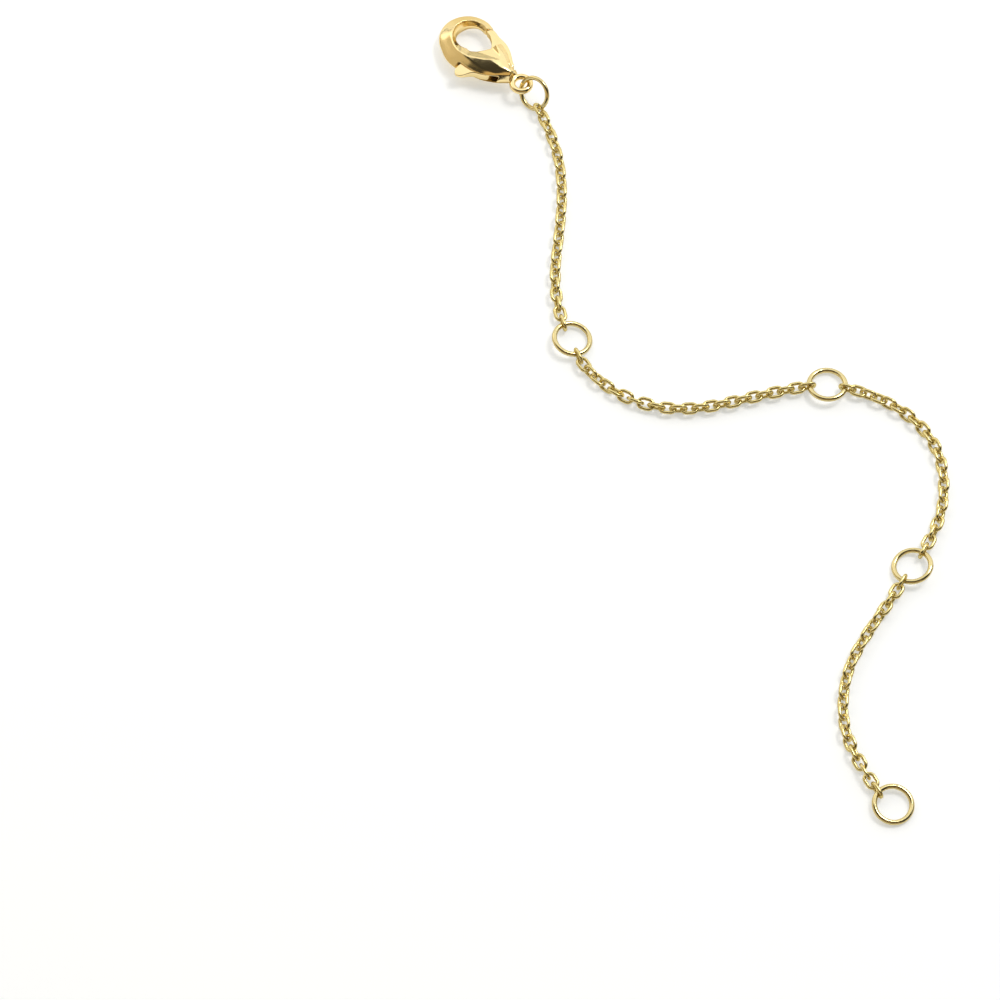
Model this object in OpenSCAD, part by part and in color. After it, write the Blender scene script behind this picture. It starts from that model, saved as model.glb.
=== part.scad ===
/* [Chain] */
// Distance from one link's centre to the next
link_pitch = 1.00; // [0.99:0.01:1.00]
// Outer length of a link
link_length = 1.68; // [1.67:0.01:1.69]
// Outer width of a link
link_width = 1.18; // [1.16:0.01:1.20]
// Thickness of the link wire
link_wire = 0.27; // [0.25:0.01:0.27]

/* [Rings] */
// Outer diameter of an extender ring and of the end ring
ring_outer = 3.75; // [3.70:0.05:3.85]
// Thickness of the ring wire
ring_wire = 0.45; // [0.40:0.01:0.45]
// Outer diameter of the jump ring at the clasp
jump_outer = 3.40; // [3.35:0.05:3.45]
// Thickness of the jump ring wire
jump_wire = 0.42; // [0.38:0.01:0.42]

/* [Clasp] */
// Outer diameter of the eye that the jump ring passes through
eye_outer = 2.26; // [2.22:0.02:2.28]
// Thickness of the eye's wire
eye_wire = 0.58; // [0.56:0.01:0.60]
// Width of the slot between the two cheeks
slot_width = 0.92; // [0.92:0.02:0.96]
// Thickness of the lever
lever_thick = 0.84; // [0.80:0.01:0.84]
// Diameter of the rivet that the lever turns on
pivot_d = 0.52; // [0.48:0.01:0.52]
// How far the clasp leans over on its side, in degrees
clasp_roll = 3; // [2:1:4]

/* [Hidden] */
$fn = 32;
gold = [0.86, 0.70, 0.36];
big = 20;

// Number of links in each length
links_1 = 24;
links_2 = 24;
links_3 = 22;
links_4 = 23;
// Distance from a link's centre to the middle of the ring wire that passes through it
hold = 0.21;
// Heading of each length in degrees, as rows of link number and heading
heading_1 = [[0, -66], [3, -71], [7, -85], [11, -94], [15, -97], [18, -91], [23, -73]];
heading_2 = [[0, -66], [2, -48], [5, -33], [8, -18], [11, -1], [14, 11], [17, 15], [23, 11]];
heading_3 = [[0, -16], [3, -25], [6, -40], [9, -60], [12, -82], [14, -92], [16, -100], [18, -112],
    [21, -121]];
heading_4 = [[0, -121], [4, -125], [8, -118], [10, -108], [13, -94], [15, -84], [17, -71], [19, -64],
    [22, -59]];
// Roll of the even links about the chain, as rows of link number and roll; odd links are a quarter turn on
roll_1 = [[0, -42], [17, -45], [23, 0]];
roll_2 = [[0, 90], [10, 0], [23, 0]];
roll_3 = [[0, 90], [6, 46], [16, 40], [21, 0]];
roll_4 = [[0, 90], [6, 134], [16, 136], [22, 90]];
// Extra height of a length's links where a ring holds its end up, as rows of link number and height
lift_1 = [[0, 0.19], [4, 0]];
lift_none = [[0, 0]];
// Heading from the last link to a ring's centre and from there to the next length, and the ring's lean
ring_1 = [-64, -72, -11];
ring_2 = [5, -11, -10];
ring_3 = [-125, -122, 12];
ring_end = [-43, 0, 0];

ring_mean = (ring_outer - ring_wire) / 2;
jump_mean = (jump_outer - jump_wire) / 2;
reach = ring_mean + hold;
link_half = (link_width - link_wire) / 2;
link_straight = link_length - link_width;

// The jump ring stands on its edge, leaning away from the clasp
jump_at = [-14.11, 32.21];
jump_heading = 135.5;
jump_lean = 55.6;
jump_height = jump_mean * sin(jump_lean) + jump_wire / 2;
// Places round the jump ring, in degrees from the side that the eye holds
jump_link_angle = 220;
eye_slack = 0.08;
eye_at = [0, 0.12, 0];

function flat(a) = [cos(a), sin(a)];
function height(roll, lift) = link_wire / 2 + link_half * max(abs(sin(roll)), abs(cos(roll))) + lift;
function mid_heading(rows, k) = (lookup(k, rows) + lookup(k + 1, rows)) / 2;
// Centres of a length's links: each step goes one pitch along the heading between its two links
function places(start, rows, count) = [
    for (k = 0, p = start; k < count; p = p + link_pitch * flat(mid_heading(rows, k)), k = k + 1) p];
function ring_centre(route, turn) = route[len(route) - 1] + reach * flat(turn[0]);
function next_start(centre, turn) = centre + reach * flat(turn[1]);

// Middle of the jump ring's wire at an angle round the ring
function jump_point(a) =
    let (level = flat(jump_heading), rise = flat(jump_heading - 90) * cos(jump_lean))
    [for (i = [0:1]) jump_at[i] + jump_mean * (cos(a) * level[i] + sin(a) * rise[i])];

route_1 = places(jump_point(jump_link_angle) + hold * flat(heading_1[0][1]), heading_1, links_1);
centre_1 = ring_centre(route_1, ring_1);
route_2 = places(next_start(centre_1, ring_1), heading_2, links_2);
centre_2 = ring_centre(route_2, ring_2);
route_3 = places(next_start(centre_2, ring_2), heading_3, links_3);
centre_3 = ring_centre(route_3, ring_3);
route_4 = places(next_start(centre_3, ring_3), heading_4, links_4);
centre_end = ring_centre(route_4, ring_end);
edge_height = height(90, 0);
end_ring_lean = asin((edge_height - ring_wire / 2) / (2 * ring_mean));

// Clasp, in its own frame: X from the eye's centre to the hoop's end, +Y the spine side, Z its thickness
clasp_heading = 133;
clasp_pitch = 3;
clasp_height = 1.44;
clasp_at = jump_point(0) + eye_slack * flat(clasp_heading);
neck_x = 1.30;
hoop_x = 7.20;
throat_centre = [6.95, 0.08];
throat_r = 1.47;
// Outline of the clasp's body seen on its face, as rows of x, gate side y and spine side y
outline = [
    [0.90, -0.20, 0.62], [1.10, -0.42, 0.92], [1.40, -0.56, 1.26], [2.00, -0.90, 2.02], [2.60, -1.28, 2.54],
    [3.20, -1.64, 2.94], [3.90, -1.90, 3.22], [4.60, -1.98, 3.38], [5.10, -1.98, 3.44], [5.60, -2.00, 3.48],
    [6.10, -2.16, 3.50], [6.60, -2.33, 3.48], [7.10, -2.41, 3.37], [7.60, -2.38, 3.18], [8.10, -2.26, 2.95],
    [8.60, -2.03, 2.69], [9.00, -1.74, 2.40], [9.40, -1.30, 1.96], [9.70, -0.79, 1.45], [9.88, -0.24, 0.90],
    [9.94, 0.16, 0.50]];
// Half thickness of the body on its middle line, before the throat is cut, as rows of x and half thickness
body_half = [[1.30, 0.90], [2.00, 1.08], [2.80, 1.20], [3.60, 1.30], [4.60, 1.40], [5.60, 1.44], [6.40, 1.44],
    [7.20, 1.32]];
// Slope of the body from its rim to its middle line, as rows of share of the way in and share of the height
slope = [[0.04, 0.10], [0.12, 0.22], [0.30, 0.47], [0.45, 0.69], [0.66, 0.85], [0.90, 1.02]];
// Hole of the hook, open at the gate gap between the cheeks and the hook's tip
lever_side = [[4.60, -0.40], [4.90, 0.30], [5.24, 0.94], [5.70, 1.36]];
throat_round = [for (a = [118:-14:-92]) throat_centre + throat_r * flat(a)];
gate_gap = [[6.69, -1.37], [6.24, -2.16], [6.10, -3.00], [4.40, -3.00], [4.40, -0.86]];
// Crest round the hole at crest_height, where the inner slopes end
crest = [[2.55, 0.05], [2.97, 0.43], [3.60, 1.01], [4.20, 1.56], [4.80, 2.12], [5.30, 2.52], [5.90, 2.66],
    [6.60, 2.56], [7.30, 2.30], [7.90, 1.85], [8.45, 1.20], [8.75, 0.50], [8.80, -0.20], [8.62, -1.00],
    [8.15, -1.62], [7.45, -2.05], [6.70, -2.16], [6.00, -2.10], [4.40, -1.05], [3.20, -0.15]];
// Height of the hole's lip, where the inner slopes start: its value at the eye and its rise along X and Y
lip_height = 1.15;
lip_rise = [-0.105, 0.117];
crest_height = 1.20;
// Slot between the cheeks that the lever swings in
slot = [[1.50, -3.00], [1.50, 0.10], [1.80, 0.70], [1.80, 4.50], [5.62, 4.50], [5.56, 2.46], [6.04, 1.46],
    [6.20, -3.00]];
// Outline of the lever when closed
lever = [
    [6.50, -1.48], [5.94, -1.34], [5.40, -1.06], [5.00, -0.72], [4.74, -0.30], [4.98, 0.36], [5.30, 1.00],
    [5.86, 1.54], [5.74, 1.90], [5.50, 2.34], [5.46, 3.00], [5.42, 3.46], [5.30, 3.74], [5.08, 3.92],
    [4.78, 3.92], [4.50, 3.74], [4.26, 3.40], [4.02, 2.96], [3.76, 2.66], [3.30, 2.44], [2.86, 2.14],
    [2.64, 1.86], [2.40, 0.60], [1.90, 0.20], [1.82, -0.60], [2.20, -0.86], [2.60, -1.12], [3.20, -1.48],
    [3.90, -1.76], [4.60, -1.86], [5.20, -1.88], [6.08, -2.02]];
pivot_at = [2.20, -0.20];
pivot_gap = 0.04;
seat_gap = 0.01;
hub_r = 0.60;
pivot_length = 1.86;

module wire_ring(mean, wire) {
    rotate_extrude() translate([mean, 0]) circle(d = wire);
}

module half_ring(mean, wire) {
    rotate([0, 0, -90]) rotate_extrude(angle = 180) translate([mean, 0]) circle(d = wire);
}

module cable_link() {
    for (turn = [0, 180]) rotate([0, 0, turn]) {
        translate([link_straight / 2, 0, 0]) half_ring(link_half, link_wire);
        translate([-link_straight / 2, link_half, 0]) rotate([0, 90, 0])
            cylinder(h = link_straight, d = link_wire);
    }
}

module cable_chain(route, headings, rolls, lifts) {
    color(gold) for (k = [0:len(route) - 1]) {
        roll = lookup(k, rolls) + 90 * (k % 2);
        translate([route[k][0], route[k][1], height(roll, lookup(k, lifts))])
            rotate([roll, 0, lookup(k, headings)]) cable_link();
    }
}

module extender_ring(centre, turn) {
    color(gold) translate([centre[0], centre[1], edge_height])
        rotate([turn[2], 0, (turn[0] + turn[1]) / 2]) wire_ring(ring_mean, ring_wire);
}

module end_ring() {
    drop = ring_mean * sin(end_ring_lean);
    color(gold) translate([centre_end[0], centre_end[1], edge_height - drop])
        rotate([0, end_ring_lean, ring_end[0]]) wire_ring(ring_mean, ring_wire);
}

module jump_ring() {
    color(gold) translate([jump_at[0], jump_at[1], jump_height])
        rotate([-jump_lean, 0, jump_heading]) wire_ring(jump_mean, jump_wire);
}

module in_clasp_frame() {
    translate([clasp_at[0], clasp_at[1], clasp_height])
        rotate([clasp_roll, clasp_pitch, clasp_heading]) children();
}

// The outline as one loop: along the gate side to the hoop's end and back along the spine side
rim = concat([for (row = outline) [row[0], row[1]]],
    [for (i = [len(outline) - 1:-1:0]) [outline[i][0], outline[i][2]]]);
function middle_y(x) = lookup(x, [for (row = outline) [row[0], (row[1] + row[2]) / 2]]);
function rim_middle(p) =
    let (x = min(max(p[0], neck_x), hoop_x)) [x, middle_y(x)];
function slope_point(p, row, up) =
    let (m = rim_middle(p))
    [p[0] + (m[0] - p[0]) * row[0], p[1] + (m[1] - p[1]) * row[0], lookup(m[0], body_half) * row[1] * up];

module sloped_blank() {
    n = len(rim);
    rows = len(slope);
    under = [for (i = [rows - 1:-1:0]) for (p = rim) slope_point(p, slope[i], -1)];
    over = [for (row = slope) for (p = rim) slope_point(p, row, 1)];
    points = concat(under, [for (p = rim) slope_point(p, [0, 0], 1)], over);
    top = 2 * rows * n;
    walls = [for (j = [0:2 * rows - 1]) for (i = [0:n - 1]) let (k = (i + 1) % n)
        each [[j * n + i, j * n + n + i, j * n + k], [j * n + k, j * n + n + i, j * n + n + k]]];
    caps = [for (i = [0:n / 2 - 2]) let (k = n - 1 - i)
        each [[i, i + 1, k], [i + 1, k - 1, k], [top + i, top + k, top + i + 1],
            [top + i + 1, top + k, top + k - 1]]];
    polyhedron(points = points, faces = concat(walls, caps));
}

module throat_flare() {
    hull() {
        multmatrix([[1, 0, 0, 0], [0, 1, 0, 0], [lip_rise[0], lip_rise[1], 1, lip_height], [0, 0, 0, 1]])
            linear_extrude(0.01) polygon(concat(lever_side, throat_round));
        translate([0, 0, crest_height]) linear_extrude(1) polygon(crest);
    }
}

module clasp_body() {
    color(gold) in_clasp_frame() difference() {
        union() {
            sloped_blank();
            translate(eye_at) wire_ring((eye_outer - eye_wire) / 2, eye_wire);
        }
        translate([0, 0, -big / 2]) linear_extrude(big) polygon(concat(lever_side, throat_round, gate_gap));
        throat_flare();
        mirror([0, 0, 1]) throat_flare();
        translate([0, 0, -slot_width / 2]) linear_extrude(slot_width) polygon(slot);
        translate([pivot_at[0], pivot_at[1], -big / 2]) cylinder(h = big, d = pivot_d + 2 * seat_gap);
    }
}

module clasp_lever() {
    color(gold) in_clasp_frame() difference() {
        translate([0, 0, -lever_thick / 2]) linear_extrude(lever_thick) {
            polygon(lever);
            translate(pivot_at) circle(r = hub_r);
        }
        translate([pivot_at[0], pivot_at[1], -big / 2]) cylinder(h = big, d = pivot_d + 2 * pivot_gap);
    }
}

module clasp_pivot() {
    color(gold) in_clasp_frame() translate([pivot_at[0], pivot_at[1], -pivot_length / 2])
        cylinder(h = pivot_length, d = pivot_d);
}

module chain_1() { cable_chain(route_1, heading_1, roll_1, lift_1); }
module chain_2() { cable_chain(route_2, heading_2, roll_2, lift_none); }
module chain_3() { cable_chain(route_3, heading_3, roll_3, lift_none); }
module chain_4() { cable_chain(route_4, heading_4, roll_4, lift_none); }
module extender_ring_1() { extender_ring(centre_1, ring_1); }
module extender_ring_2() { extender_ring(centre_2, ring_2); }
module extender_ring_3() { extender_ring(centre_3, ring_3); }

clasp_body();
clasp_lever();
clasp_pivot();
jump_ring();
chain_1();
extender_ring_1();
chain_2();
extender_ring_2();
chain_3();
extender_ring_3();
chain_4();
end_ring();
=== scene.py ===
from math import asin, atan2, cos, degrees, hypot, pi, radians, sin
import bmesh
import bpy
from mathutils import Matrix, Vector


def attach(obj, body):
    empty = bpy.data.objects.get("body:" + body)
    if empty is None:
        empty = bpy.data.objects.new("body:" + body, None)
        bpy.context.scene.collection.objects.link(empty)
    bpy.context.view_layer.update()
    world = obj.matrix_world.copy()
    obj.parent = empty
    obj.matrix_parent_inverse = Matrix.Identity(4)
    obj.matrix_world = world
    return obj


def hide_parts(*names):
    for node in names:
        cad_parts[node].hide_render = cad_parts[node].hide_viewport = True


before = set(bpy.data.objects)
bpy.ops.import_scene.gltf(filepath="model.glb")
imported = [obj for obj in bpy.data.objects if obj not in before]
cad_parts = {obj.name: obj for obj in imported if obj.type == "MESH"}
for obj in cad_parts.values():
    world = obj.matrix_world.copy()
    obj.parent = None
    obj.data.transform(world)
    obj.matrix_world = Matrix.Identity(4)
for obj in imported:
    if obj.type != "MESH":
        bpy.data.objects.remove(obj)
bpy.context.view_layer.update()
scene = bpy.context.scene
MM = 0.001

# Camera, looking down at the table from the near side
AIM = Vector((-17.31, -9.54, 0.0)) * MM
CAMERA_DISTANCE = 400 * MM
CAMERA_ELEVATION = 64.0
VIEW_WIDTH = 90.0
SENSOR_WIDTH = 36

# Lights, as name, place, size, glow and colour
LIGHTS = [
    ("ceiling", (40, 363, 339), (1600, 840), 1.12, (1.0, 1.0, 1.0)),
    ("key", (230, 200, 480), (140, 140), 15.0, (1.0, 0.97, 0.93)),
    ("left_side", (-546, 48, 244), (1080, 440), 0.62, (1.0, 0.84, 0.58)),
    ("front_low", (-60, -490, 345), (1000, 270), 0.60, (1.0, 0.72, 0.36)),
]
ROOM_COLOUR = (1.0, 0.92, 0.75, 1)
ROOM_GLOW = 0.045
TABLE_TINTS = {"A": (0.78, 0.78, 0.79, 1), "B": (0.81, 0.81, 0.81, 1)}
TABLE_GLOW_COLOUR = (0.88, 0.95, 1.0, 1)
TABLE_GLOW = 0.43
TABLE_SIZE = 2.0
# Directions of the wipe marks on the gold, as a turn about Z and a stretch along each axis
WIPE_MARKS = [(0.6, (1.0, 14.0, 9.0)), (-0.9, (12.0, 1.0, 8.0))]

# Chain, in millimetres and degrees
LINK_PITCH = 1.00
LINK_LENGTH = 1.68
LINK_WIDTH = 1.18
LINK_WIRE = 0.27
LINK_HALF = (LINK_WIDTH - LINK_WIRE) / 2
LINK_STRAIGHT = LINK_LENGTH - LINK_WIDTH
RING_OUTER = 3.75
RING_WIRE = 0.45
RING_MEAN = (RING_OUTER - RING_WIRE) / 2
JUMP_OUTER = 3.40
JUMP_WIRE = 0.42
JUMP_MEAN = (JUMP_OUTER - JUMP_WIRE) / 2
# From the middle of a ring's wire to the centre of the link that hangs on it
HOLD = 0.21
# The wires as seen, a little fuller than their places allow for
SEEN_LINK_WIRE = 0.32
SEEN_RING_WIRE = 0.47
# Faces round a wire and along a bend, and points closer than this are one
LINK_SIDES = 14
LINK_BEND_STEPS = 12
RING_SIDES = 28
RING_STEPS = 120
EYE_STEPS = 64
RIVET_STEPS = 32
SAME_POINT = 0.001
# Soldered seam: half its width round the ring in degrees, its swelling, and where it lies on a ring
SEAM_REACH = 9
SEAM_SWELL = 0.05
JUMP_SEAM = 70
RING_SEAM = 115

# Where each length of chain heads and how its links are rolled, as rows of link number and angle
LENGTHS = {
    "chain_1": {
        "count": 24,
        "heading": [(0, -66), (3, -71), (7, -85), (11, -94), (15, -97), (18, -91), (23, -73)],
        "roll": [(0, -42), (17, -45), (23, 0)],
        "lift": [(0, 0.19), (4, 0)],
    },
    "chain_2": {
        "count": 24,
        "heading": [(0, -66), (2, -48), (5, -33), (8, -18), (11, -1), (14, 11), (17, 15), (23, 11)],
        "roll": [(0, 90), (10, 0), (23, 0)],
        "lift": [(0, 0)],
    },
    "chain_3": {
        "count": 22,
        "heading": [(0, -16), (3, -25), (6, -40), (9, -60), (12, -82), (14, -92), (16, -100), (18, -112),
                    (21, -121)],
        "roll": [(0, 90), (6, 46), (16, 40), (21, 0)],
        "lift": [(0, 0)],
    },
    "chain_4": {
        "count": 23,
        "heading": [(0, -121), (4, -125), (8, -118), (10, -108), (13, -94), (15, -84), (17, -71), (19, -64),
                    (22, -59)],
        "roll": [(0, 90), (6, 134), (16, 136), (22, 90)],
        "lift": [(0, 0)],
    },
}
# Heading into a ring, heading out of it, and its lean
RING_TURNS = {"extender_ring_1": (-64, -72, -11), "extender_ring_2": (5, -11, -10),
              "extender_ring_3": (-125, -122, 12), "end_ring": (-43, 0, 0)}

# Jump ring between the clasp and the first length
JUMP_AT = (-14.11, 32.21)
JUMP_HEADING = 135.5
JUMP_LEAN = 55.6
JUMP_LINK_ANGLE = 220
EYE_SLACK = 0.08

# Clasp, in its own frame: X from the eye to the hoop's end, +Y the spine side, Z its thickness
CLASP_TURN = (3, 3, 133)
CLASP_HEIGHT = 1.44
EYE_AT = (0, 0.12, 0)
EYE_OUTER = 2.26
EYE_WIRE = 0.58
NECK_X = 1.30
HOOP_X = 7.20
THROAT_CENTRE = (6.95, 0.08)
THROAT_R = 1.47
# Angles from which the throat's arc starts, before which it ends, and between its points
THROAT_ARC = (118, -93, -7)
# Outline of the body seen on its face, as rows of x, gate side y and spine side y
OUTLINE = [
    (0.90, -0.20, 0.62), (1.10, -0.42, 0.92), (1.40, -0.56, 1.26), (2.00, -0.90, 2.02), (2.60, -1.28, 2.54),
    (3.20, -1.64, 2.94), (3.90, -1.90, 3.22), (4.60, -1.98, 3.38), (5.10, -1.98, 3.44), (5.60, -2.00, 3.48),
    (6.10, -2.16, 3.50), (6.60, -2.33, 3.48), (7.10, -2.41, 3.37), (7.60, -2.38, 3.18), (8.10, -2.26, 2.95),
    (8.60, -2.03, 2.69), (9.00, -1.74, 2.40), (9.40, -1.30, 1.96), (9.70, -0.79, 1.45), (9.88, -0.24, 0.90),
    (9.94, 0.16, 0.50)]
# Half thickness of the body on its middle line
BODY_HALF = [(1.30, 0.90), (2.00, 1.08), (2.80, 1.20), (3.60, 1.30), (4.60, 1.40), (5.60, 1.44), (6.40, 1.44),
             (7.20, 1.32)]
# Where along the middle line the two faces close
FACE_X = 3.6
# Slope of the body from its rim to its middle line, as rows of share of the way in and share of the height
SLOPE = [(0, 0), (0.04, 0.10), (0.12, 0.22), (0.30, 0.47), (0.45, 0.69), (0.66, 0.85), (0.90, 1.02),
         (1, 1.04)]
# Hole of the hook, open at the gate gap, and the crest round it where the slope into the hole ends
LEVER_SIDE = [(4.60, -0.40), (4.90, 0.30), (5.24, 0.94), (5.70, 1.36)]
GATE_GAP = [(6.69, -1.37), (6.24, -2.16), (6.10, -3.00), (4.40, -3.00), (4.40, -0.86)]
CREST = [(2.55, 0.05), (2.97, 0.43), (3.60, 1.01), (4.20, 1.56), (4.80, 2.12), (5.30, 2.52), (5.90, 2.66),
         (6.60, 2.56), (7.30, 2.30), (7.90, 1.85), (8.45, 1.20), (8.75, 0.50), (8.80, -0.20), (8.62, -1.00),
         (8.15, -1.62), (7.45, -2.05), (6.70, -2.16), (6.00, -2.10), (4.40, -1.05), (3.20, -0.15)]
# Height of the hole's lip at the eye, and its rise along X and Y
LIP_HEIGHT = 1.15
LIP_RISE = Vector((-0.115, 0.117))
CREST_HEIGHT = 1.20
SLOT = [(1.50, -3.00), (1.50, 0.10), (1.80, 0.70), (1.80, 4.50), (5.62, 4.50), (5.56, 2.46), (6.04, 1.46),
        (6.20, -3.00)]
SLOT_WIDTH = 0.92
LEVER = [(6.50, -1.48), (5.94, -1.34), (5.40, -1.06), (5.00, -0.72), (4.74, -0.30), (4.98, 0.36),
         (5.30, 1.00), (5.86, 1.54), (5.74, 1.90), (5.50, 2.34), (5.46, 3.00), (5.42, 3.46), (5.30, 3.74),
         (5.08, 3.92), (4.78, 3.92), (4.50, 3.74), (4.26, 3.40), (4.02, 2.96), (3.76, 2.66), (3.30, 2.44),
         (2.86, 2.14), (2.64, 1.86), (2.40, 0.60), (1.90, 0.20), (1.82, -0.60), (2.20, -0.86), (2.60, -1.12),
         (3.20, -1.48), (3.90, -1.76), (4.60, -1.86), (5.20, -1.88), (6.08, -2.02)]
LEVER_THICK = 0.84
# The lever's half thickness along Y, thinner towards the end of the thumb nub
LEVER_HALF = [(2.40, 0.42), (3.20, 0.28), (3.90, 0.14)]
# Rivet: its length as seen, close to the sloping cheeks, and its domed end as radius and depth from the tip
PIVOT_AT = (2.20, -0.20)
PIVOT_LENGTH = 1.56
PIVOT_END = [(0, 0), (0.14, 0.01), (0.21, 0.04), (0.25, 0.09)]
# Points round the body's rim and the other outlines, and rows over its face
RIM_POINTS = 240
FACE_ROWS = 56
CREST_POINTS = 160
LEVER_POINTS = 200
CURVE_STEPS = 16
# Sizes of the cubes that the skins are made from, and how often a skin is smoothed
BLANK_CUBE = 0.05
SKIN_CUBE = 0.045
BLANK_PASSES = 2
BODY_PASSES = 3
LEVER_PASSES = 8
NECK_PASSES = 16
NECK_REACH = (1.3, 2.5)


def flat(angle):
    return Vector((cos(radians(angle)), sin(radians(angle))))


def lookup(rows, x):
    """Value at x along rows of x and value, straight between the rows."""
    if x <= rows[0][0]:
        return rows[0][1]
    for (x0, y0), (x1, y1) in zip(rows, rows[1:]):
        if x <= x1:
            return y0 + (y1 - y0) * (x - x0) / (x1 - x0)
    return rows[-1][1]


def aim_camera():
    camera = bpy.data.objects.new("camera", bpy.data.cameras.new("camera"))
    scene.collection.objects.link(camera)
    tilt = radians(CAMERA_ELEVATION)
    camera.location = AIM + Vector((0, -cos(tilt), sin(tilt))) * CAMERA_DISTANCE
    camera.rotation_euler = (pi / 2 - tilt, 0, 0)
    camera.data.sensor_width = SENSOR_WIDTH
    camera.data.lens = SENSOR_WIDTH * CAMERA_DISTANCE / (VIEW_WIDTH * MM)
    camera.data.clip_start = 0.01
    camera.data.clip_end = 10
    scene.camera = camera


def softbox(name, place, size, glow, colour):
    """A soft square light that faces the middle of the chain; glow is how bright its face looks."""
    data = bpy.data.lights.new(name, "AREA")
    data.shape = "RECTANGLE"
    data.size, data.size_y = size[0] * MM, size[1] * MM
    data.energy = glow * pi * data.size * data.size_y
    data.color = colour
    lamp = bpy.data.objects.new(name, data)
    lamp.location = Vector(place) * MM
    lamp.rotation_euler = (-lamp.location).to_track_quat("-Z", "Y").to_euler()
    scene.collection.objects.link(lamp)


def mesh_of(name, bm):
    """Turns a bmesh into a mesh and lets go of the bmesh."""
    mesh = bpy.data.meshes.new(name)
    bm.to_mesh(mesh)
    bm.free()
    return mesh


def object_of(name, bm):
    """Puts a bmesh into the scene as an object."""
    thing = bpy.data.objects.new(name, mesh_of(name, bm))
    scene.collection.objects.link(thing)
    return thing


def applied(thing, tools=()):
    """The object's shape with its modifiers applied, as a bmesh; the object and its tools are removed."""
    result = bpy.data.meshes.new_from_object(thing.evaluated_get(bpy.context.evaluated_depsgraph_get()))
    for used in (*tools, thing):
        bpy.data.objects.remove(used)
    bm = bmesh.new()
    bm.from_mesh(result)
    return bm


def finish_piece(name, bm, material, body="root"):
    """Makes a piece from the bmesh, in millimetres, that stands for the CAD node of the same name."""
    bmesh.ops.transform(bm, matrix=Matrix.Scale(MM, 4), verts=bm.verts)
    piece = object_of(name, bm)
    for face in piece.data.polygons:
        face.use_smooth = True
    piece.data.materials.append(material)
    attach(piece, body)
    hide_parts(name)


# Materials

def add_node(tree, kind, values=(), **settings):
    node = tree.nodes.new(kind)
    for key, value in settings.items():
        setattr(node, key, value)
    for socket, value in dict(values).items():
        node.inputs[socket].default_value = value
    return node


def gold(name, pale, deep, smooth, worn, scratch=0.25, grain=900.0):
    """Polished gold plate: a clear tint that shifts a little, fine wipe marks and soft unevenness."""
    material = bpy.data.materials.new(name)
    material.use_nodes = True
    tree = material.node_tree
    link = tree.links.new
    tree.nodes.clear()
    output = add_node(tree, "ShaderNodeOutputMaterial")
    shader = add_node(tree, "ShaderNodeBsdfPrincipled",
                      {"Metallic": 1.0, "Specular Tint": (0.62, 0.50, 0.30, 1)})
    link(shader.outputs["BSDF"], output.inputs["Surface"])
    place = add_node(tree, "ShaderNodeTexCoord")
    cloud = add_node(tree, "ShaderNodeTexNoise", {"Scale": grain, "Detail": 3.0, "Roughness": 0.55})
    link(place.outputs["Object"], cloud.inputs["Vector"])
    tint = add_node(tree, "ShaderNodeMix", data_type="RGBA")
    tint.inputs["A"].default_value = (*pale, 1)
    tint.inputs["B"].default_value = (*deep, 1)
    link(cloud.outputs["Fac"], tint.inputs["Factor"])
    link(tint.outputs["Result"], shader.inputs["Base Color"])
    # Wipe marks: fine noise drawn out along two directions
    marks = []
    for turn, stretch in WIPE_MARKS:
        lay = add_node(tree, "ShaderNodeMapping", {"Rotation": (0.2, 0.4, turn), "Scale": stretch})
        link(place.outputs["Object"], lay.inputs["Vector"])
        mark = add_node(tree, "ShaderNodeTexNoise", {"Scale": grain * 1.6, "Detail": 5.0, "Roughness": 0.7})
        link(lay.outputs["Vector"], mark.inputs["Vector"])
        marks.append(mark)
    both = add_node(tree, "ShaderNodeMath", operation="ADD")
    link(marks[0].outputs["Fac"], both.inputs[0])
    link(marks[1].outputs["Fac"], both.inputs[1])
    gloss = add_node(tree, "ShaderNodeMapRange", {"From Min": 0.75, "From Max": 1.3, "To Min": smooth,
                                                   "To Max": worn})
    link(both.outputs["Value"], gloss.inputs["Value"])
    link(gloss.outputs["Result"], shader.inputs["Roughness"])
    bump = add_node(tree, "ShaderNodeBump", {"Strength": scratch, "Distance": 0.000004})
    link(both.outputs["Value"], bump.inputs["Height"])
    link(bump.outputs["Normal"], shader.inputs["Normal"])
    return material


def table_top():
    """Plain pale sweep, barely mottled."""
    material = bpy.data.materials.new("pale_sweep")
    material.use_nodes = True
    tree = material.node_tree
    shader = tree.nodes["Principled BSDF"]
    place = add_node(tree, "ShaderNodeTexCoord")
    cloud = add_node(tree, "ShaderNodeTexNoise", {"Scale": 30.0, "Detail": 2.0})
    tree.links.new(place.outputs["Object"], cloud.inputs["Vector"])
    tint = add_node(tree, "ShaderNodeMix", data_type="RGBA")
    for socket, colour in TABLE_TINTS.items():
        tint.inputs[socket].default_value = colour
    tree.links.new(cloud.outputs["Fac"], tint.inputs["Factor"])
    tree.links.new(tint.outputs["Result"], shader.inputs["Base Color"])
    shader.inputs["Roughness"].default_value = 0.7
    shader.inputs["Emission Color"].default_value = TABLE_GLOW_COLOUR
    shader.inputs["Emission Strength"].default_value = TABLE_GLOW
    shader.inputs["Specular IOR Level"].default_value = 0.2
    return material


# Chain and rings

def link_centres(start, rows, count):
    """Each link's centre goes one pitch along the heading between it and the last one."""
    centres = [start]
    for k in range(count - 1):
        heading = (lookup(rows, k) + lookup(rows, k + 1)) / 2
        centres.append(centres[-1] + LINK_PITCH * flat(heading))
    return centres


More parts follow.
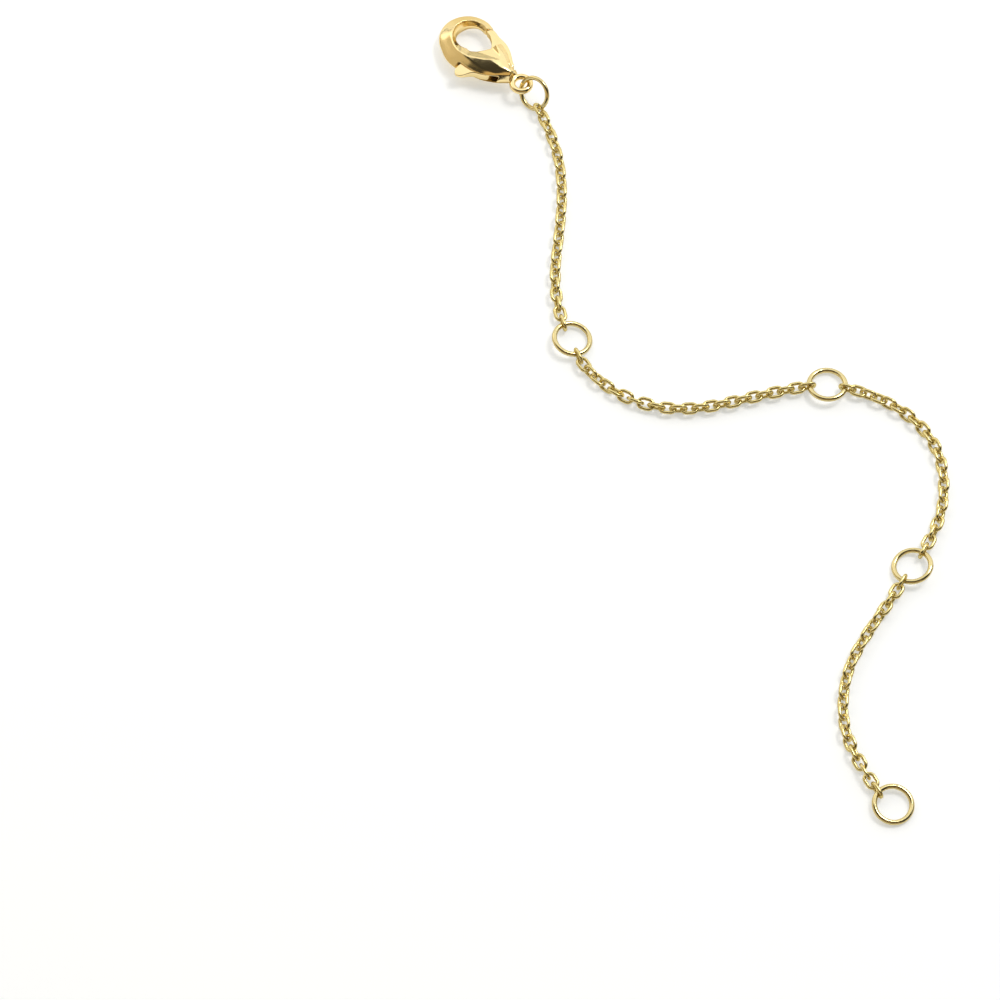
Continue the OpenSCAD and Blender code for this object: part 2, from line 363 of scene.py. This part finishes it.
def wire_loop(bm, wire, segments, place):
    """A circle of wire, lying across the X axis, at place."""
    made = bmesh.ops.create_circle(bm, segments=segments, radius=wire / 2)["verts"]
    bmesh.ops.rotate(bm, verts=made, cent=(0, 0, 0), matrix=Matrix.Rotation(pi / 2, 3, "Y"))
    bmesh.ops.translate(bm, verts=made, vec=place)
    return list({e for v in made for e in v.link_edges})


def bend(bm, edges, centre):
    """Draws the wire round half a turn about centre."""
    made = bmesh.ops.spin(bm, geom=edges, cent=(*centre, 0), axis=(0, 0, 1), angle=pi, steps=LINK_BEND_STEPS)
    return [g for g in made["geom_last"] if isinstance(g, bmesh.types.BMEdge)]


def run_straight(bm, edges, along):
    """Draws the wire out along X."""
    made = bmesh.ops.extrude_edge_only(bm, edges=edges)["geom"]
    ends = [g for g in made if isinstance(g, bmesh.types.BMVert)]
    bmesh.ops.translate(bm, verts=ends, vec=(along, 0, 0))
    return [g for g in made if isinstance(g, bmesh.types.BMEdge) and all(v in ends for v in g.verts)]


def full_turn(bm, geom, steps):
    """Spins a section all the way round Z and closes it."""
    bmesh.ops.spin(bm, geom=geom, cent=(0, 0, 0), axis=(0, 0, 1), angle=2 * pi, steps=steps, use_merge=True)
    bmesh.ops.remove_doubles(bm, verts=bm.verts, dist=SAME_POINT)


def wire_ring(mean, wire, steps):
    """A round ring of round wire, lying flat round the origin."""
    bm = bmesh.new()
    edges = wire_loop(bm, wire, RING_SIDES, (0, -mean, 0))
    full_turn(bm, edges + list({v for e in edges for v in e.verts}), steps)
    return bm


def link_shape():
    """One oval link of round wire, lying flat round the origin."""
    bm = bmesh.new()
    end = LINK_STRAIGHT / 2
    edges = wire_loop(bm, SEEN_LINK_WIRE, LINK_SIDES, (end, -LINK_HALF, 0))
    edges = bend(bm, edges, (end, 0))
    edges = run_straight(bm, edges, -LINK_STRAIGHT)
    edges = bend(bm, edges, (-end, 0))
    run_straight(bm, edges, LINK_STRAIGHT)
    bmesh.ops.remove_doubles(bm, verts=bm.verts, dist=SAME_POINT)
    bmesh.ops.recalc_face_normals(bm, faces=bm.faces)
    return mesh_of("link", bm)


def chain(name, one_link, centres, rows, material):
    """A length of links, each a quarter turn on from the last, as they lie on the table."""
    bm = bmesh.new()
    for k, centre in enumerate(centres):
        roll = lookup(rows["roll"], k) + 90 * (k % 2)
        rise = LINK_WIRE / 2 + LINK_HALF * max(abs(sin(radians(roll))), abs(cos(radians(roll))))
        place = (Matrix.Translation((centre.x, centre.y, rise + lookup(rows["lift"], k)))
                 @ Matrix.Rotation(radians(lookup(rows["heading"], k)), 4, "Z")
                 @ Matrix.Rotation(radians(roll), 4, "X"))
        before = len(bm.verts)
        bm.from_mesh(one_link)
        bm.verts.ensure_lookup_table()
        bmesh.ops.transform(bm, matrix=place, verts=bm.verts[before:])
    finish_piece(name, bm, material)


def ring(name, mean, wire, place, seam, material):
    """A round wire ring with its soldered seam at an angle round it."""
    bm = wire_ring(mean, wire, RING_STEPS)
    for v in bm.verts:
        away = abs((degrees(atan2(v.co.y, v.co.x)) - seam + 180) % 360 - 180)
        core = Vector((v.co.x, v.co.y, 0)).normalized() * mean
        if away < SEAM_REACH:
            swell = SEAM_SWELL * cos(radians(away * 90 / SEAM_REACH)) ** 2
            v.co = core + (v.co - core) * (1 + swell)
    bmesh.ops.recalc_face_normals(bm, faces=bm.faces)
    bmesh.ops.transform(bm, matrix=place, verts=bm.verts)
    finish_piece(name, bm, material)


def jump_point(angle):
    """Point on the jump ring's middle circle, seen from above."""
    level = flat(JUMP_HEADING)
    rise = flat(JUMP_HEADING - 90) * cos(radians(JUMP_LEAN))
    return Vector(JUMP_AT) + JUMP_MEAN * (cos(radians(angle)) * level + sin(radians(angle)) * rise)


def lay_chain(material, ring_material):
    one_link = link_shape()
    reach = RING_MEAN + HOLD
    edge_height = LINK_WIRE / 2 + LINK_HALF
    jump_height = JUMP_MEAN * sin(radians(JUMP_LEAN)) + JUMP_WIRE / 2
    place = (Matrix.Translation((*JUMP_AT, jump_height))
             @ Matrix.Rotation(radians(JUMP_HEADING), 4, "Z")
             @ Matrix.Rotation(radians(-JUMP_LEAN), 4, "X"))
    ring("jump_ring", JUMP_MEAN, JUMP_WIRE, place, JUMP_SEAM, ring_material)
    start = jump_point(JUMP_LINK_ANGLE) + HOLD * flat(LENGTHS["chain_1"]["heading"][0][1])
    for (name, rows), (ring_name, (into, out, lean)) in zip(LENGTHS.items(), RING_TURNS.items()):
        centres = link_centres(start, rows["heading"], rows["count"])
        chain(name, one_link, centres, rows, material)
        middle = centres[-1] + reach * flat(into)
        if ring_name == "end_ring":
            tip = asin((edge_height - RING_WIRE / 2) / (2 * RING_MEAN))
            place = (Matrix.Translation((*middle, edge_height - RING_MEAN * sin(tip)))
                     @ Matrix.Rotation(radians(into), 4, "Z")
                     @ Matrix.Rotation(tip, 4, "Y"))
        else:
            place = (Matrix.Translation((*middle, edge_height))
                     @ Matrix.Rotation(radians((into + out) / 2), 4, "Z")
                     @ Matrix.Rotation(radians(lean), 4, "X"))
        ring(ring_name, RING_MEAN, SEEN_RING_WIRE, place, RING_SEAM, ring_material)
        start = middle + reach * flat(out)


# Clasp

def smooth_loop(points, count):
    """Evenly spaced points on a smooth closed curve through the given ones."""
    n = len(points)
    fine = []
    for i in range(n):
        a, b, c, d = (Vector(points[(i + j) % n]) for j in (-1, 0, 1, 2))
        for s in range(CURVE_STEPS):
            t = s / CURVE_STEPS
            fine.append(0.5 * (2 * b + (c - a) * t + (2 * a - 5 * b + 4 * c - d) * t * t
                               + (3 * b - 3 * c + d - a) * t ** 3))
    fine.append(fine[0])
    walk = [0.0]
    for p, q in zip(fine, fine[1:]):
        walk.append(walk[-1] + (q - p).length)
    out, j = [], 0
    for i in range(count):
        s = walk[-1] * i / count
        while walk[j + 1] < s:
            j += 1
        out.append(fine[j].lerp(fine[j + 1], (s - walk[j]) / (walk[j + 1] - walk[j])))
    return out


def slab(points, thick):
    """A flat slab with the given outline, centred on Z = 0."""
    bm = bmesh.new()
    verts = [bm.verts.new((p[0], p[1], -thick / 2)) for p in points]
    face = bm.faces.new(verts)
    made = bmesh.ops.extrude_face_region(bm, geom=[face])["geom"]
    top = [g for g in made if isinstance(g, bmesh.types.BMVert)]
    bmesh.ops.translate(bm, verts=top, vec=(0, 0, thick))
    bmesh.ops.recalc_face_normals(bm, faces=bm.faces)
    return bm


def soften(bm, verts, passes):
    for _ in range(passes):
        bmesh.ops.smooth_vert(bm, verts=verts, factor=0.5, use_axis_x=True, use_axis_y=True, use_axis_z=True)


def rounded(bm, cube, passes):
    """Turns overlapping closed shapes into one skin with softly rounded edges."""
    rough = object_of("rough", bm)
    remesh = rough.modifiers.new("skin", "REMESH")
    remesh.mode = "VOXEL"
    remesh.voxel_size = cube
    bm = applied(rough)
    soften(bm, bm.verts, passes)
    return bm


def cut(bm, cutters):
    """Takes closed shapes away from a closed shape."""
    whole = object_of("whole", bm)
    tools = []
    for cutter in cutters:
        tool = object_of("cutter", cutter)
        modifier = whole.modifiers.new("cut", "BOOLEAN")
        modifier.operation = "DIFFERENCE"
        modifier.solver = "EXACT"
        modifier.object = tool
        tools.append(tool)
    return applied(whole, tools)


def sloped_blank():
    """The clasp's body before it is cut: slopes that rise from the outline, the same on both faces."""
    middle = [(x, (low + high) / 2) for x, low, high in OUTLINE]
    gate_side = [(x, low) for x, low, high in OUTLINE]
    spine_side = [(x, high) for x, low, high in reversed(OUTLINE)]
    rim = smooth_loop(gate_side + spine_side, RIM_POINTS)
    bm = bmesh.new()
    bmesh.ops.create_uvsphere(bm, u_segments=RIM_POINTS, v_segments=FACE_ROWS, radius=1)
    for v in bm.verts:
        turn = degrees(atan2(v.co.y, v.co.x)) % 360
        rise = asin(max(-1.0, min(1.0, v.co.z)))
        edge = rim[round(turn * RIM_POINTS / 360) % RIM_POINTS]
        x = min(max(edge.x, NECK_X), HOOP_X)
        if hypot(v.co.x, v.co.y) < SAME_POINT:
            x, edge = FACE_X, Vector((FACE_X, lookup(middle, FACE_X)))
        core = Vector((x, lookup(middle, x)))
        inset = (2 * abs(rise) / pi) ** 2
        at = edge.lerp(core, inset)
        up = lookup(SLOPE, inset) * (1 if rise > 0 else -1)
        v.co = (at.x, at.y, lookup(BODY_HALF, x) * up)
    if bm.calc_volume(signed=True) < 0:
        bmesh.ops.reverse_faces(bm, faces=bm.faces)
    return bm


def flare(hole, side):
    """The slope that widens the hole from its lip to the crest, above (1) or below (-1) the middle."""
    bm = bmesh.new()
    for point in hole:
        bm.verts.new((*point, side * (LIP_HEIGHT + LIP_RISE.dot(point))))
    for height in (CREST_HEIGHT, CREST_HEIGHT + 1):
        for point in smooth_loop(CREST, CREST_POINTS):
            bm.verts.new((*point, side * height))
    made = bmesh.ops.convex_hull(bm, input=bm.verts)
    inner = made["geom_interior"] + made["geom_unused"]
    loose = {g for g in inner if isinstance(g, bmesh.types.BMVert)}
    bmesh.ops.delete(bm, geom=list(loose), context="VERTS")
    bmesh.ops.recalc_face_normals(bm, faces=bm.faces)
    return bm


def clasp_body(place, material):
    arc = [tuple(Vector(THROAT_CENTRE) + THROAT_R * flat(a)) for a in range(*THROAT_ARC)]
    hole = LEVER_SIDE + arc
    cutters = [slab(hole + GATE_GAP, 6), flare(hole, 1), flare(hole, -1), slab(SLOT, SLOT_WIDTH)]
    bm = cut(rounded(sloped_blank(), BLANK_CUBE, BLANK_PASSES), cutters)
    eye = wire_ring((EYE_OUTER - EYE_WIRE) / 2, EYE_WIRE, EYE_STEPS)
    bmesh.ops.translate(eye, verts=eye.verts, vec=EYE_AT)
    bmesh.ops.recalc_face_normals(eye, faces=eye.faces)
    bm.from_mesh(mesh_of("eye", eye))
    bm = rounded(bm, SKIN_CUBE, BODY_PASSES)
    soften(bm, [v for v in bm.verts if NECK_REACH[0] < v.co.x < NECK_REACH[1]], NECK_PASSES)
    bmesh.ops.transform(bm, matrix=place, verts=bm.verts)
    finish_piece("clasp_body", bm, material)


def clasp_lever(place, material):
    bm = rounded(slab(smooth_loop(LEVER, LEVER_POINTS), LEVER_THICK), SKIN_CUBE, LEVER_PASSES)
    for v in bm.verts:
        v.co.z *= lookup(LEVER_HALF, v.co.y) * 2 / LEVER_THICK
    bmesh.ops.transform(bm, matrix=place, verts=bm.verts)
    finish_piece("clasp_lever", bm, material, "lever")


def clasp_rivet(place, material):
    """A rivet with softly domed heads."""
    bm = bmesh.new()
    half = PIVOT_LENGTH / 2
    profile = [(r, half - down) for r, down in PIVOT_END] + [(PIVOT_END[-1][0], 0)]
    profile += [(r, -z) for r, z in reversed(profile[:-1])]
    verts = [bm.verts.new((r, 0, z)) for r, z in profile]
    edges = [bm.edges.new(pair) for pair in zip(verts, verts[1:])]
    full_turn(bm, verts + edges, RIVET_STEPS)
    bmesh.ops.recalc_face_normals(bm, faces=bm.faces)
    bmesh.ops.translate(bm, verts=bm.verts, vec=(*PIVOT_AT, 0))
    bmesh.ops.transform(bm, matrix=place, verts=bm.verts)
    finish_piece("clasp_pivot", bm, material)


def make_clasp(material):
    at = jump_point(0) + EYE_SLACK * flat(CLASP_TURN[2])
    place = (Matrix.Translation((*at, CLASP_HEIGHT))
             @ Matrix.Rotation(radians(CLASP_TURN[2]), 4, "Z")
             @ Matrix.Rotation(radians(CLASP_TURN[1]), 4, "Y")
             @ Matrix.Rotation(radians(CLASP_TURN[0]), 4, "X"))
    clasp_body(place, material)
    clasp_lever(place, material)
    clasp_rivet(place, material)


# Stage

def set_stage():
    bm = bmesh.new()
    bmesh.ops.create_grid(bm, x_segments=2, y_segments=2, size=TABLE_SIZE)
    table = object_of("floor", bm)
    table.data.materials.append(table_top())
    for light in LIGHTS:
        softbox(*light)
    world = bpy.data.worlds.new("room")
    scene.world = world
    world.use_nodes = True
    room = world.node_tree.nodes["Background"]
    room.inputs["Color"].default_value = ROOM_COLOUR
    room.inputs["Strength"].default_value = ROOM_GLOW
    scene.view_settings.view_transform = "Standard"
    scene.view_settings.look = "None"


aim_camera()
set_stage()
plate = gold("polished_gold", (0.96, 0.79, 0.43), (0.90, 0.70, 0.33), 0.10, 0.20)
# Darker, greener copy of the gold plate for the chain: painted shade standing in for the dark reflections on
# its thin wires
shaded_chain_gold = gold("shaded_chain_gold", (0.80, 0.67, 0.31), (0.64, 0.53, 0.22), 0.17, 0.29, 0.3, 1500.0)
# Darker copy of the gold plate for the rings: painted shade standing in for the dark olive reflections on
# their wires
shaded_ring_gold = gold("shaded_ring_gold", (0.78, 0.66, 0.34), (0.64, 0.53, 0.25), 0.12, 0.22)
make_clasp(plate)
lay_chain(shaded_chain_gold, shaded_ring_gold)
